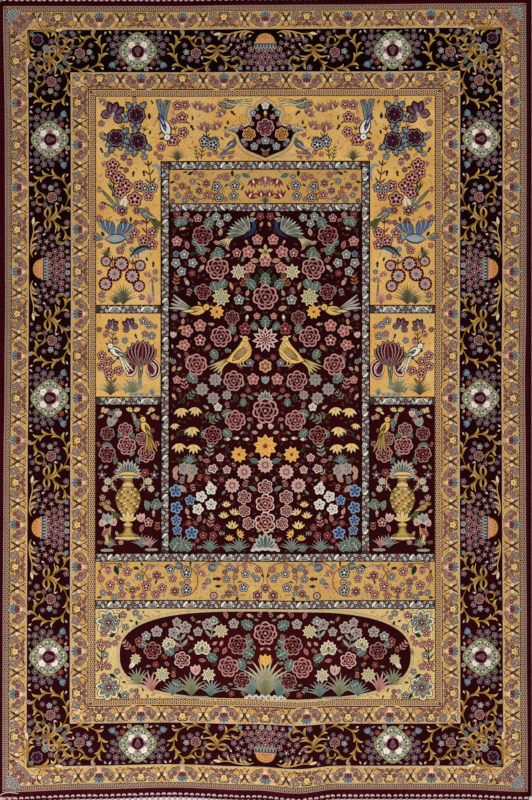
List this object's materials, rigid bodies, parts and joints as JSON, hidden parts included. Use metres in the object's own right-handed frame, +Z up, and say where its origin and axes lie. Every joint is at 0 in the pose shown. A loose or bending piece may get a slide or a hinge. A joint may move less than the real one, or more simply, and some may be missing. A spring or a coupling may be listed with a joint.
{
  "type": "persian rug",
  "caption": "Fine pile rug with a prayer niche, flower borders, overcast sides and a knotted fringe at both ends, lying flat.",
  "frame": {"origin": "on the floor under the middle of the rug, fringes included", "axes": "+X across the rug to its right side, +Y along it to its top end, which the niche points to, +Z up out of the pile"},
  "size_m": [1.0146, 1.6462, 0.0085],
  "materials": {
    "pile": "short cut silk pile, soft sheen, wine and gold flower pattern",
    "overcasting": "plum silk wound over the side warps",
    "warp_ends": "undyed silk warp ends, knotted, pinkish white"
  },
  "bodies": {
    "root": {"rug_body": "pile", "side_cord_left": "overcasting", "side_cord_right": "overcasting", "fringe_top": "warp_ends", "fringe_bottom": "warp_ends"}
  },
  "joints": []
}
